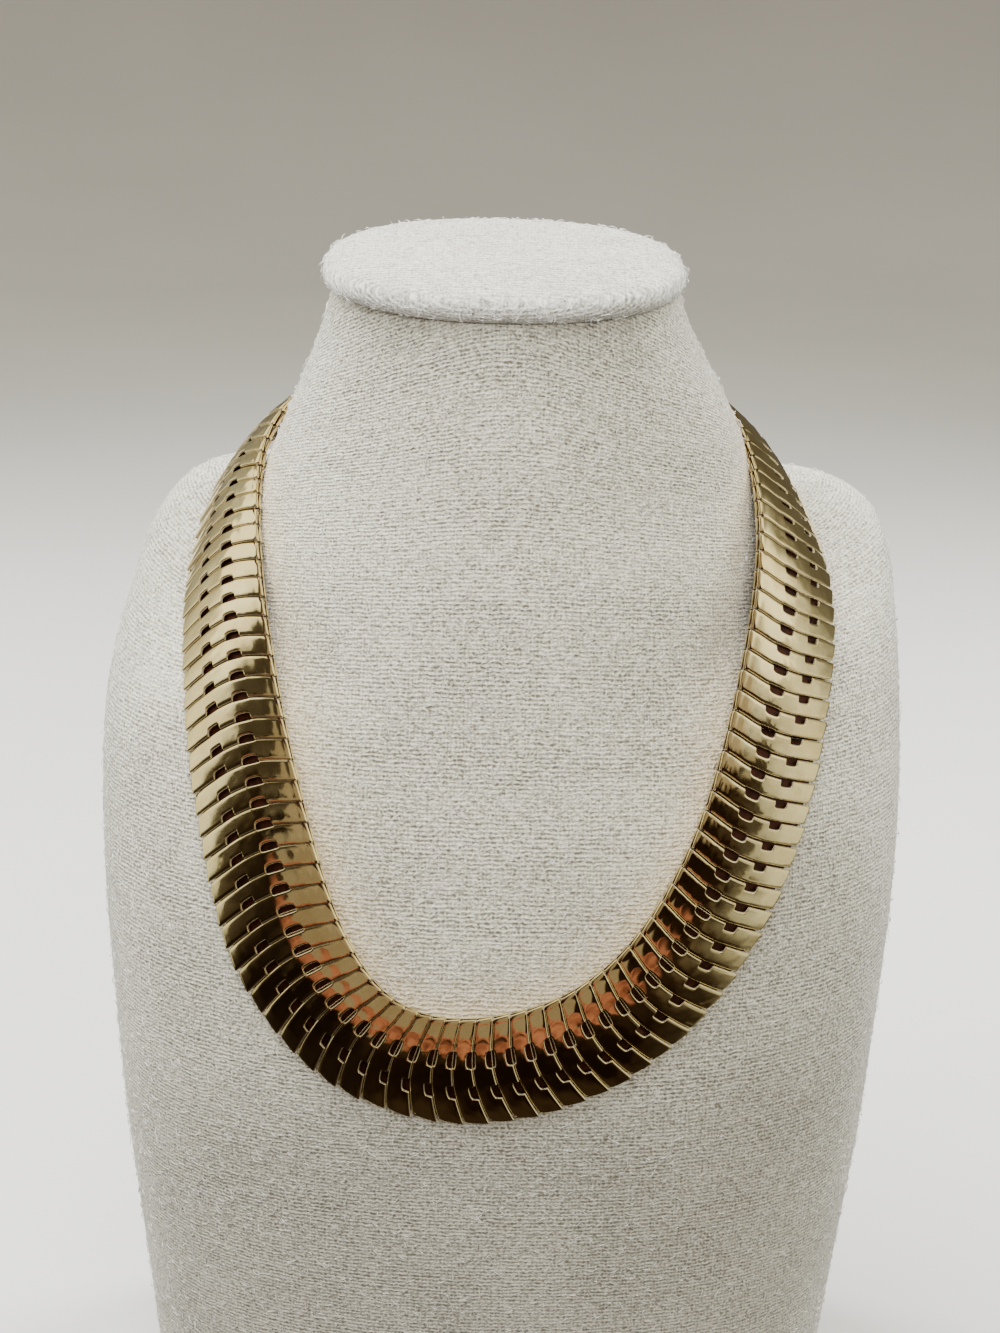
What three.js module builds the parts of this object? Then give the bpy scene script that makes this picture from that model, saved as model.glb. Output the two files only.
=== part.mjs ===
// A collar necklace of shingled, crescent-shaped metal links, worn by a fabric-covered neck bust.
// Millimetres, +Z up, the wearer's front towards -Y. The tables are laid out from the bust's own
// axis, and the last lines move everything so that the origin is under the middle of its box.
// The necklace runs from the hidden clasp behind the neck, down the -X side, across the chest
// and up the +X side, back to the clasp.
import * as THREE from "three";
import { mergeVertices } from "three/addons/utils/BufferGeometryUtils.js";

// ---------------------------------------------------------------- driving dimensions
const SHOULDER_SLOPE = 0.22; // rise of the shoulder tops, and of the neck's cut top, towards the back
const SLOPE_PIVOT_Y = 40; // where a sloping level has its nominal height
const SLOPE_START = 180; // levels slope from this height up
const SLOPE_FULL = 230; // and have the whole slope from here
const BLEND = 18; // how tightly the neck grows out of the shoulders
const BUST_SIDES = 40;
const FRONT_ROUNDNESS = 2.25; // superellipse exponents of the sections
const BACK_ROUNDNESS = 3;
const NECK_ROUNDNESS = 2.05;
const BASE_BEVEL = 0.97; // the base's lowest ring against the one above it
const ABOVE_BODY = 0.5; // how fast the body's form gives way above its highest section, per millimetre
const RAY_LENGTH = 130; // longer than the bust reaches from any of its axes
const HALVINGS = 30;

const NECK_TOP = 303.8; // level of the neck's cut top
const CAP_ROUNDNESS = 2.25;
const CAP_HALF_WIDTH = 44.9;
const CAP_HALF_DEPTH = 34;
const CAP_CENTRE_X = -2.3;
const CAP_CENTRE_Y = 8.2;
const SEAM_GAP = 0.3;

const HINGE_SHARE = 0.65; // the row that keeps its pitch when the band bends, as a share of the width
const LINK_COUNT = 107;
const CLASP_LENGTH = 9;
const CLASP_TOP = 2.4; // heights off the band's base line at its middle
const CLASP_BOTTOM = 0.9;
const CLASP_ARCH = 6;
const CLASP_ROWS = [0.1, 0.3, 0.5, 0.7, 0.9]; // shares of the width
const CLASP_GAP = 0.8;
const PIECE_GAP = 0.3;
const SHEET = 0.9; // depth of the stamped links below their leading edges
const FOOT = -0.35; // lowest edge of a link against the band's base line
const FOOT_SHARE = 0.03; // thickness of the turned-down inner wall, as a share of the width
const SHINGLE = 0.3; // a link's trailing edge rides this much high, its leading edge this much low
const HOLE_DEPTH = 0.5; // floor of a hole below the leading edge beside it
const STEPS_PER_STATION = 24; // for measuring lengths along the band
const TANGENT_STEP = 0.02; // in stations, for the band's direction at a point
const MERGE_DISTANCE = 1e-3;

// The bust's body at each level: half width, its middle's place to the side, depth of the widest
// line, front and back.
const BODY_SECTIONS = [
  { level: 0, half: 90, side: 0, wide: 2, front: -56, back: 54 },
  { level: 40, half: 94, side: 0, wide: 1, front: -62.5, back: 57 },
  { level: 80, half: 98, side: 0, wide: 0, front: -68.5, back: 59 },
  { level: 115, half: 100.5, side: 0, wide: 0, front: -72, back: 60 },
  { level: 145, half: 102.3, side: 0, wide: 0, front: -68, back: 60 },
  { level: 170, half: 103, side: 0, wide: 3, front: -61, back: 60 },
  { level: 190, half: 103, side: 0, wide: 10, front: -53.5, back: 60 },
  { level: 205, half: 102.1, side: 0.8, wide: 17.5, front: -46.5, back: 60 },
  { level: 217, half: 100.6, side: 2, wide: 26.5, front: -36.5, back: 60 },
  { level: 227, half: 98.6, side: 3.2, wide: 34.5, front: -21.5, back: 60 },
  { level: 233, half: 95.6, side: 3.8, wide: 38.5, front: -7.5, back: 60 },
  { level: 237, half: 91.6, side: 3.8, wide: 41, front: 4.5, back: 59 },
  { level: 240.2, half: 85, side: 3.2, wide: 43, front: 16, back: 57.5 },
  { level: 242.3, half: 74, side: 2, wide: 44, front: 31, back: 54 },
  { level: 243.2, half: 52, side: 1, wide: 44.5, front: 39, back: 50 },
];

// The neck, which runs on down inside the body and leans a little to one side.
const NECK_SECTIONS = [
  { level: 170, half: 63, side: 0, wide: 8, front: -57.5, back: 50 },
  { level: 200, half: 71, side: 0, wide: 10, front: -52, back: 52 },
  { level: 225, half: 69, side: -0.1, wide: 12, front: -44, back: 53 },
  { level: 245, half: 63, side: -0.4, wide: 13, front: -36, back: 52.5 },
  { level: 260, half: 57.4, side: -0.1, wide: 12, front: -31, back: 50 },
  { level: 271, half: 52.8, side: -0.3, wide: 11, front: -27.5, back: 47 },
  { level: 281, half: 48, side: -1, wide: 9.5, front: -25, back: 44 },
  { level: 292, half: 43.9, side: -1.6, wide: 8, front: -23.5, back: 41 },
  { level: 305, half: 42, side: -2, wide: 8, front: -22.5, back: 39.5 },
];

// The rings that the bust's skin is drawn through, and the depth of the axis that each turns about.
const BUST_RINGS = [
  { level: 2.5, axis: 0 },
  { level: 25, axis: 0 },
  { level: 55, axis: 0 },
  { level: 85, axis: 0 },
  { level: 110, axis: 0 },
  { level: 135, axis: 0 },
  { level: 157, axis: 2 },
  { level: 176, axis: 5 },
  { level: 192, axis: 8 },
  { level: 205, axis: 12 },
  { level: 216, axis: 17 },
  { level: 225, axis: 22 },
  { level: 231, axis: 26 },
  { level: 235.2, axis: 28 },
  { level: 238.4, axis: 29 },
  { level: 240.8, axis: 29 },
  { level: 242.6, axis: 28 },
  { level: 245, axis: 26 },
  { level: 249, axis: 24 },
  { level: 255, axis: 21 },
  { level: 262, axis: 18 },
  { level: 269, axis: 15 },
  { level: 277, axis: 12 },
  { level: 286, axis: 10 },
  { level: 295, axis: 9 },
  { level: NECK_TOP, axis: 8 },
];

// The padded cap's profile: height above its underside, and how far each ring lies inside the rim.
const CAP_PROFILE = [
  { height: 0, inset: 2.2 },
  { height: 0.5, inset: 0.7 },
  { height: 1.9, inset: 0 },
  { height: 3.7, inset: 0.4 },
  { height: 5.1, inset: 1.7 },
  { height: 6, inset: 4.5 },
  { height: 6.8, inset: 16 },
];

// The necklace's two edges at even steps round the loop, from behind the neck towards -X.
const BAND_STATIONS = [
  { inner: [0, 52.5, 268.8], outer: [0, 63.5, 245.3] },
  { inner: [-25.7, 47.4, 269.8], outer: [-32.5, 60.5, 248.8] },
  { inner: [-48.1, 32.1, 267.2], outer: [-58.2, 48.8, 249.6] },
  { inner: [-60.2, 13.6, 255.8], outer: [-74, 30.2, 242.8] },
  { inner: [-61.2, -8.5, 238.1], outer: [-80.3, 2.1, 223.9] },
  { inner: [-55.7, -33.2, 211.7], outer: [-78.1, -27.2, 201.4] },
  { inner: [-46.9, -52.7, 181.5], outer: [-72.1, -47.3, 170.5] },
  { inner: [-36.4, -64.1, 153], outer: [-61, -60.7, 138.1] },
  { inner: [-23.8, -69.5, 137.6], outer: [-37.7, -69.6, 115.1] },
  { inner: [-6.7, -71.1, 133.8], outer: [-5.2, -72.8, 107.6] },
  { inner: [15.2, -70, 139.5], outer: [27.3, -71.3, 116.7] },
  { inner: [32.6, -64.9, 153.4], outer: [52.4, -63.3, 136.6] },
  { inner: [46.2, -55.1, 176.1], outer: [69.1, -50.6, 164.1] },
  { inner: [55.6, -38.5, 206.3], outer: [78.6, -31.8, 196.3] },
  { inner: [61, -16.2, 236.5], outer: [81.5, -5, 223.9] },
  { inner: [58.5, 10.9, 258.2], outer: [73.4, 27.4, 244.2] },
  { inner: [46.6, 31.9, 268.6], outer: [57.6, 48.8, 250.9] },
  { inner: [25.2, 46.8, 270], outer: [32.5, 60.5, 249.2] },
];

// A link across the band, from its inner to its outer edge: the height of its crown above the
// base line, and how far its curved joint lines run ahead of their middle, along the chain.
const LINK_SECTIONS = [
  { share: 0, height: 1.35, ahead: 2.1 },
  { share: 0.05, height: 2, ahead: 1.75 },
  { share: 0.25, height: 2.75, ahead: 0.35 },
  { share: 0.36, height: 2.98, ahead: 0.06 },
  { share: 0.44, height: 3, ahead: 0 },
  { share: 0.6, height: 2.6, ahead: 0.35 },
  { share: 0.74, height: 2, ahead: 1.1 },
  { share: 0.88, height: 1.25, ahead: 1.95 },
  { share: 1, height: 0.4, ahead: 2.75 },
];

// The holes on each joint: where they lie across the band, and how far each cuts the trailing edge.
const HOLES = [
  { from: 0.269, to: 0.435, cut: 1.6 },
  { from: 0.601, to: 0.743, cut: 1.6 },
];
const HOLE_SIDE = 0.008; // a hole's end walls, as a share of the width

// The solids that the links are joined in, by the number of each one's first link.
const LINK_RUNS = [
  { name: "links_left_back", first: 0 },
  { name: "links_left_side", first: 15 },
  { name: "links_left_front", first: 31 },
  { name: "links_front", first: 46 },
  { name: "links_right_front", first: 61 },
  { name: "links_right_side", first: 76 },
  { name: "links_right_back", first: 92 },
];

const linen = new THREE.MeshStandardMaterial({ color: 0xcfc9be, roughness: 0.95, metalness: 0 });
const gold = new THREE.MeshStandardMaterial({ color: 0xd9bb78, roughness: 0.18, metalness: 1 });

// ---------------------------------------------------------------- shared helpers
const clamp01 = (value) => Math.min(Math.max(value, 0), 1);

// A smooth curve through one column of a table, clamped at both ends.
function along(table, key, column, at) {
  const last = table.length - 1;
  const x = Math.min(Math.max(at, table[0][key]), table[last][key]);
  let i = 0;
  while (i < last - 1 && x > table[i + 1][key]) i += 1;
  const slope = (k) =>
    (table[k + 1][column] - table[k][column]) / (table[k + 1][key] - table[k][key]);
  const tangent = (k) => {
    if (k === 0) return slope(0);
    if (k === last) return slope(last - 1);
    return (slope(k - 1) + slope(k)) / 2;
  };
  const span = table[i + 1][key] - table[i][key];
  const t = (x - table[i][key]) / span;
  return (
    (2 * t ** 3 - 3 * t ** 2 + 1) * table[i][column] +
    (t ** 3 - 2 * t ** 2 + t) * span * tangent(i) +
    (3 * t ** 2 - 2 * t ** 3) * table[i + 1][column] +
    (t ** 3 - t ** 2) * span * tangent(i + 1)
  );
}

// Collects triangles and turns them into one closed, merged geometry.
class Skin {
  constructor() {
    this.positions = [];
  }

  triangle(a, b, c) {
    for (const point of [a, b, c]) this.positions.push(point.x, point.y, point.z);
  }

  quad(a, b, c, d) {
    this.triangle(a, b, c);
    this.triangle(a, c, d);
  }

  // The wall between two rows of points, walked side by side by the nearer next step.
  stitch(rowA, rowB) {
    let a = 0;
    let b = 0;
    while (a < rowA.length - 1 || b < rowB.length - 1) {
      const stepA = a < rowA.length - 1 ? rowA[a + 1].distanceTo(rowB[b]) : Infinity;
      const stepB = b < rowB.length - 1 ? rowB[b + 1].distanceTo(rowA[a]) : Infinity;
      if (stepA <= stepB) {
        this.triangle(rowA[a], rowB[b], rowA[a + 1]);
        a += 1;
      } else {
        this.triangle(rowA[a], rowB[b], rowB[b + 1]);
        b += 1;
      }
    }
  }

  geometry() {
    const loose = new THREE.BufferGeometry();
    loose.setAttribute("position", new THREE.Float32BufferAttribute(this.positions, 3));
    const merged = mergeVertices(loose, MERGE_DISTANCE);
    const index = merged.index.array;
    const kept = [];
    for (let i = 0; i < index.length; i += 3) {
      const [a, b, c] = [index[i], index[i + 1], index[i + 2]];
      if (a !== b && b !== c && a !== c) kept.push(a, b, c);
    }
    merged.setIndex(kept);
    merged.computeVertexNormals();
    return merged;
  }
}

// The skin through closed rings, with a flat fan over its first and its last one.
function loft(rings) {
  const skin = new Skin();
  const sides = rings[0].length;
  for (let r = 0; r + 1 < rings.length; r += 1) {
    for (let s = 0; s < sides; s += 1) {
      const next = (s + 1) % sides;
      skin.quad(rings[r][s], rings[r][next], rings[r + 1][next], rings[r + 1][s]);
    }
  }
  const middle = (ring) =>
    ring.reduce((sum, point) => sum.add(point), new THREE.Vector3()).divideScalar(sides);
  const bottom = middle(rings[0]);
  const top = middle(rings[rings.length - 1]);
  for (let s = 0; s < sides; s += 1) {
    const next = (s + 1) % sides;
    skin.triangle(bottom, rings[0][next], rings[0][s]);
    skin.triangle(top, rings[rings.length - 1][s], rings[rings.length - 1][next]);
  }
  return skin.geometry();
}

// ---------------------------------------------------------------- neck bust
const slopeAt = (height) =>
  SHOULDER_SLOPE * clamp01((height - SLOPE_START) / (SLOPE_FULL - SLOPE_START));

// Height of a sloping level at depth y.
const heightOf = (level, y) => level + slopeAt(level) * (y - SLOPE_PIVOT_Y);

// How far out a point lies in one form's section: 1 on its skin, less inside.
function reach(sections, level, x, y, frontRoundness, backRoundness) {
  const half = along(sections, "level", "half", level);
  const wide = along(sections, "level", "wide", level);
  const isFront = y < wide;
  const edge = along(sections, "level", isFront ? "front" : "back", level);
  const roundness = isFront ? frontRoundness : backRoundness;
  const across = Math.abs(x / half) ** roundness;
  const deep = Math.abs((y - wide) / (edge - wide)) ** roundness;
  return (across + deep) ** (1 / roundness);
}

// The same for the whole bust: body and neck, smoothly joined.
function bustReach(x, y, z) {
  const level = z - slopeAt(z) * (y - SLOPE_PIVOT_Y);
  const bodySide = along(BODY_SECTIONS, "level", "side", level);
  const bodyTop = BODY_SECTIONS[BODY_SECTIONS.length - 1].level;
  const body =
    reach(BODY_SECTIONS, level, x - bodySide, y, FRONT_ROUNDNESS, BACK_ROUNDNESS) +
    ABOVE_BODY * Math.max(level - bodyTop, 0);
  const neckSide = along(NECK_SECTIONS, "level", "side", z);
  const neck = reach(NECK_SECTIONS, z, x - neckSide, y, NECK_ROUNDNESS, NECK_ROUNDNESS);
  const least = Math.min(body, neck);
  const sum = Math.exp(-BLEND * (body - least)) + Math.exp(-BLEND * (neck - least));
  return least - Math.log(sum) / BLEND;
}

// A ring of the bust's skin on one sloping level, found by halving along rays from its axis.
function bustRing({ level, axis }) {
  const ring = [];
  for (let s = 0; s < BUST_SIDES; s += 1) {
    const angle = (2 * Math.PI * s) / BUST_SIDES;
    const pointAt = (radius) => {
      const y = axis + radius * Math.sin(angle);
      return new THREE.Vector3(radius * Math.cos(angle), y, heightOf(level, y));
    };
    let inside = 0;
    let outside = RAY_LENGTH;
    for (let step = 0; step < HALVINGS; step += 1) {
      const radius = (inside + outside) / 2;
      const point = pointAt(radius);
      if (bustReach(point.x, point.y, point.z) < 1) inside = radius;
      else outside = radius;
    }
    ring.push(pointAt(inside));
  }
  return ring;
}

function bustGeometry() {
  const rings = BUST_RINGS.map(bustRing);
  const base = rings[0].map(
    (point) => new THREE.Vector3(point.x * BASE_BEVEL, point.y * BASE_BEVEL, 0),
  );
  return loft([base, ...rings]);
}

function capGeometry() {
  const rounded = (value) => Math.sign(value) * Math.abs(value) ** (2 / CAP_ROUNDNESS);
  const tilt = Math.atan(SHOULDER_SLOPE);
  const rings = CAP_PROFILE.map(({ height, inset }) => {
    const ring = [];
    for (let s = 0; s < BUST_SIDES; s += 1) {
      const angle = (2 * Math.PI * s) / BUST_SIDES;
      const x = (CAP_HALF_WIDTH - inset) * rounded(Math.cos(angle));
      const y = (CAP_HALF_DEPTH - inset) * rounded(Math.sin(angle));
      ring.push(new THREE.Vector3(x, y, height));
    }
    return ring;
  });
  const geometry = loft(rings);
  geometry.rotateX(tilt);
  geometry.translate(CAP_CENTRE_X, CAP_CENTRE_Y, heightOf(NECK_TOP, CAP_CENTRE_Y) + SEAM_GAP);
  return geometry;
}

// ---------------------------------------------------------------- the band's route
// A closed Catmull-Rom curve through one edge's stations.
function edgePoint(edge, at) {
  const count = BAND_STATIONS.length;
  const start = Math.floor(at);
  const t = at - start;
  const station = (offset) => BAND_STATIONS[(start + offset + 2 * count) % count][edge];
  const [p0, p1, p2, p3] = [station(-1), station(0), station(1), station(2)];
  const value = (axis) =>
    0.5 *
    (2 * p1[axis] +
      (p2[axis] - p0[axis]) * t +
      (2 * p0[axis] - 5 * p1[axis] + 4 * p2[axis] - p3[axis]) * t ** 2 +
      (3 * p1[axis] - p0[axis] - 3 * p2[axis] + p3[axis]) * t ** 3);
  return new THREE.Vector3(value(0), value(1), value(2));
}

const basePoint = (at, share) => edgePoint("inner", at).lerp(edgePoint("outer", at), share);

// Lengths along the hinge row, so that links can be set out at an even pitch.
const ROUTE_STEPS = BAND_STATIONS.length * STEPS_PER_STATION;
const routeLengths = [0];
for (let i = 1; i <= ROUTE_STEPS; i += 1) {
  const here = basePoint(i / STEPS_PER_STATION, HINGE_SHARE);
  const before = basePoint((i - 1) / STEPS_PER_STATION, HINGE_SHARE);
  routeLengths.push(routeLengths[i - 1] + here.distanceTo(before));
}
const LOOP_LENGTH = routeLengths[ROUTE_STEPS];
const PITCH = (LOOP_LENGTH - CLASP_LENGTH - 2 * CLASP_GAP) / LINK_COUNT;

// The station number at a length along the hinge row.
function stationAt(length) {
  const wrapped = ((length % LOOP_LENGTH) + LOOP_LENGTH) % LOOP_LENGTH;
  let i = 1;
  while (routeLengths[i] < wrapped) i += 1;
  const part = (wrapped - routeLengths[i - 1]) / (routeLengths[i] - routeLengths[i - 1]);
  return (i - 1 + part) / STEPS_PER_STATION;
}

// A point on the band: length along the hinge row, share of the width, height off the base line.
function bandPoint(length, share, height) {
  const at = stationAt(length);
  const forward = basePoint(at + TANGENT_STEP, share).sub(basePoint(at - TANGENT_STEP, share));
  const lateral = edgePoint("outer", at).sub(edgePoint("inner", at));
  const normal = forward.cross(lateral).normalize().negate();
  return basePoint(at, share).addScaledVector(normal, height);
}

const linkStart = (number) => CLASP_LENGTH / 2 + CLASP_GAP + number * PITCH;

// ---------------------------------------------------------------- links
// The columns of a link's crown: the table's shares, with both ends of each hole put in.
function crownColumns() {
  const shares = new Map();
  for (const { share } of LINK_SECTIONS) shares.set(share, 0);
  for (const { from, to, cut } of HOLES) {
    for (const share of [...shares.keys()]) {
      if (share >= from - HOLE_SIDE && share <= to + HOLE_SIDE) shares.delete(share);
    }
    shares.set(from - HOLE_SIDE, 0);
    shares.set(from, cut);
    shares.set(to, cut);
    shares.set(to + HOLE_SIDE, 0);
  }
  return [...shares.entries()].sort((a, b) => a[0] - b[0]).map(([share, cut]) => ({ share, cut }));
}

const CROWN = crownColumns();
const UNDERSIDE = [0.06, 0.28, 0.48, 0.7, 0.9];

// One run of joined links, from link number first up to, but not including, number end.
function runGeometry(first, end) {
  const skin = new Skin();
  const shape = (column, share) => along(LINK_SECTIONS, "share", column, share);
  const from = linkStart(first) + (first === 0 ? 0 : PIECE_GAP);
  const startOf = (number) => (number === first ? from : linkStart(number));

  // One column of the crown, from the run's first leading edge to its last trailing edge.
  const crown = CROWN.map(({ share, cut }) => {
    const height = shape("height", share);
    const ahead = shape("ahead", share);
    const low = height - SHINGLE;
    const line = [];
    for (let number = first; number < end; number += 1) {
      const next = linkStart(number + 1) + ahead;
      const isLast = number === end - 1;
      const floor = cut > 0 && !isLast ? low - HOLE_DEPTH : low;
      line.push(bandPoint(startOf(number) + ahead, share, low));
      line.push(bandPoint(next - (isLast ? 0 : cut), share, height + SHINGLE));
      if (!isLast) {
        line.push(bandPoint(next - cut, share, floor));
        line.push(bandPoint(next, share, floor));
      }
    }
    return line;
  });

  // The underside and the two feet, one point for each joint.
  const foot = (share, height) => {
    const ahead = shape("ahead", share);
    const line = [];
    for (let number = first; number <= end; number += 1) {
      line.push(bandPoint(startOf(number) + ahead, share, height));
    }
    return line;
  };
  const under = UNDERSIDE.map((share) => foot(share, shape("height", share) - SHINGLE - SHEET));
  const below = [foot(0, FOOT), foot(FOOT_SHARE, FOOT), ...under, foot(1, FOOT)];

  for (let c = 0; c + 1 < crown.length; c += 1) {
    for (let i = 0; i + 1 < crown[c].length; i += 1) {
      skin.quad(crown[c][i], crown[c + 1][i], crown[c + 1][i + 1], crown[c][i + 1]);
    }
  }
  for (let c = 0; c + 1 < below.length; c += 1) {
    for (let i = 0; i + 1 < below[c].length; i += 1) {
      skin.quad(below[c][i], below[c][i + 1], below[c + 1][i + 1], below[c + 1][i]);
    }
  }

  // The inner and outer side walls, link by link, then the two end walls.
  const wall = (top, bottom, number, flip) => {
    const i = number * 4;
    const isLast = number === end - first - 1;
    const a = top[i];
    const b = top[i + 1];
    const c = isLast ? b : top[i + 4];
    const rows = [bottom[number], bottom[number + 1]];
    const faces = [
      [rows[0], rows[1], a],
      [rows[1], c, a],
      [c, b, a],
    ];
    for (const [p, q, r] of faces) {
      if (flip) skin.triangle(p, r, q);
      else skin.triangle(p, q, r);
    }
  };
  for (let number = 0; number < end - first; number += 1) {
    wall(crown[0], below[0], number, true);
    wall(crown[crown.length - 1], below[below.length - 1], number, false);
  }
  const row = (lines, place) => lines.map((line) => line.at(place));
  skin.stitch(row(crown, 0), row(below, 0));
  skin.stitch(row(below, -1), row(crown, -1));
  return skin.geometry();
}

// ---------------------------------------------------------------- clasp
// The hidden clasp: one plain arched plate that closes the loop behind the neck.
function claspGeometry() {
  const line = (length, lift) =>
    CLASP_ROWS.map((share) => {
      const ahead = along(LINK_SECTIONS, "share", "ahead", share);
      return bandPoint(length + ahead, share, lift - CLASP_ARCH * (share - 0.5) ** 2);
    });
  const ring = (length) => [...line(length, CLASP_TOP), ...line(length, CLASP_BOTTOM).reverse()];
  const ends = CLASP_LENGTH / 2;
  return loft([ring(-ends), ring(0), ring(ends)]);
}

// ---------------------------------------------------------------- assembly
function piece(name, geometry, material) {
  const mesh = new THREE.Mesh(geometry, material);
  mesh.name = name;
  return mesh;
}

const bust = new THREE.Group();
bust.add(piece("bust_body", bustGeometry(), linen));
bust.add(piece("neck_cap", capGeometry(), linen));

const necklace = new THREE.Group();
LINK_RUNS.forEach(({ name, first }, i) => {
  const end = i + 1 < LINK_RUNS.length ? LINK_RUNS[i + 1].first : LINK_COUNT;
  necklace.add(piece(name, runGeometry(first, end), gold));
});
necklace.add(piece("clasp", claspGeometry(), gold));

const object = new THREE.Group();
object.add(bust, necklace);
const centre = new THREE.Box3().setFromObject(object).getCenter(new THREE.Vector3());
for (const group of object.children) group.position.set(-centre.x, -centre.y, 0);

export default object;
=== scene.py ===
"""A gold collar necklace of shingled links on a fabric neck bust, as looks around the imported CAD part.

Tables and shape functions are in millimetres in the tables' own axes, as the CAD source has them.
to_frame() moves a point from there into the frame: metres, with the origin under the box's middle.
"""
import math

import bpy
import numpy as np
from mathutils import Matrix, Vector


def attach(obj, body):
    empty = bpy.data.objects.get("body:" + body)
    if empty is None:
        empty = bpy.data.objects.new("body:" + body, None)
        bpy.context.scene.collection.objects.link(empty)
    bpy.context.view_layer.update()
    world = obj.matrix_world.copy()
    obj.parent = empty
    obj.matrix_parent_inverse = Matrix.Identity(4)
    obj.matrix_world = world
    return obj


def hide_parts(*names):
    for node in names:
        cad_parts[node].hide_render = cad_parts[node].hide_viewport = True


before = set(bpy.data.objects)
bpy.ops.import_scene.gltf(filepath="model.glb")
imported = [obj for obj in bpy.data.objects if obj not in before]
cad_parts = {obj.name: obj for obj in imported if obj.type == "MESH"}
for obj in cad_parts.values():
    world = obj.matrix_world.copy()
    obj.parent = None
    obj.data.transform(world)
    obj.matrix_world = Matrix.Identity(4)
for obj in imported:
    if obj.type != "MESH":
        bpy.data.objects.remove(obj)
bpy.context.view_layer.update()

MM = 0.001
SEED = 20

# ---------------------------------------------------------------- the part's dimensions, in mm
SHOULDER_SLOPE = 0.22  # rise of the shoulder tops towards the back
SLOPE_PIVOT_Y = 40  # where a sloping level has its nominal height
SLOPE_START = 180
SLOPE_FULL = 230
SLOPE_SOFTNESS = 0.3
BLEND = 18  # how tightly the neck grows out of the shoulders
FRONT_ROUNDNESS = 2.25
BACK_ROUNDNESS = 3
NECK_ROUNDNESS = 2.05
ABOVE_BODY = 0.5
RAY_LENGTH = 130
HALVINGS = 30
TABLE_MIDDLE = (-0.034, -5.538, 0)  # the point of the tables that the origin is put at

NECK_TOP = 303.8
CAP_ROUNDNESS = 2.25
CAP_HALF_WIDTH = 44.9
CAP_HALF_DEPTH = 34
CAP_CENTRE_X = -2.3
CAP_CENTRE_Y = 8.2
SEAM_GAP = 0.3

HINGE_SHARE = 0.65  # the row of the band that keeps its pitch, as a share of its width
BAND_WIDTH = 26
LINK_COUNT = 107
CLASP_LENGTH = 9
CLASP_GAP = 0.8
STEPS_PER_STATION = 24
TANGENT_STEP = 0.02

BODY_SECTIONS = [
    # level, half width, depth of the widest line, front, back, shift to the side
    (0, 90, 2, -56, 54, 0),
    (40, 94, 1, -62.5, 57, 0),
    (80, 98, 0, -68.5, 59, 0),
    (115, 100.5, 0, -72, 60, 0),
    (145, 102.3, 0, -68, 60, 0),
    (170, 103, 3, -61, 60, 0),
    (190, 103, 10, -53.5, 60, 0),
    (205, 102.1, 17.5, -46.5, 60, 0.8),
    (217, 100.6, 26.5, -36.5, 60, 2),
    (227, 98.6, 34.5, -21.5, 60, 3.2),
    (233, 95.6, 38.5, -7.5, 60, 3.8),
    (237, 91.6, 41, 4.5, 59, 3.8),
    (240.2, 85, 43, 16, 57.5, 3.2),
    (242.3, 74, 44, 31, 54, 2),
    (243.2, 52, 44.5, 39, 50, 1),
]
NECK_SECTIONS = [
    # the same columns; from 225 to 271 the padded cover swells against the band, towards +X
    (170, 63, 8, -57.5, 50, 0),
    (200, 71, 10, -52, 52, 0),
    (225, 69.2, 12, -44, 53, 0.1),
    (245, 63.6, 13, -36, 52.5, 0.1),
    (260, 58, 12, -31, 50, 0.5),
    (271, 53.1, 11, -27.5, 47, 0.1),
    (281, 48.2, 9.5, -25, 44, -0.8),
    (292, 43.9, 8, -23.5, 41, -1.6),
    (305, 42, 8, -22.5, 39.5, -2),
]
LEVEL, HALF, WIDE, FRONT, BACK, SIDE = range(6)

BUST_RINGS = [
    # level, depth of the axis that the ring turns about
    (2.5, 0),
    (25, 0),
    (55, 0),
    (85, 0),
    (110, 0),
    (135, 0),
    (157, 2),
    (176, 5),
    (192, 8),
    (205, 12),
    (216, 17),
    (225, 22),
    (231, 26),
    (235.2, 28),
    (238.4, 29),
    (240.8, 29),
    (242.6, 28),
    (245, 26),
    (249, 24),
    (255, 21),
    (262, 18),
    (269, 15),
    (277, 12),
    (286, 10),
    (295, 9),
    (NECK_TOP, 8),
]
CAP_PROFILE = [
    # height above the cap's underside, inset from its rim
    (0, 2.6),
    (0.25, 1.2),
    (0.9, 0.45),
    (1.9, 0.05),
    (3.0, 0.12),
    (4.1, 0.6),
    (5.0, 1.5),
    (5.7, 3.2),
    (6.15, 6),
    (6.5, 11),
    (6.75, 18),
    (6.8, 27),
]
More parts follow.
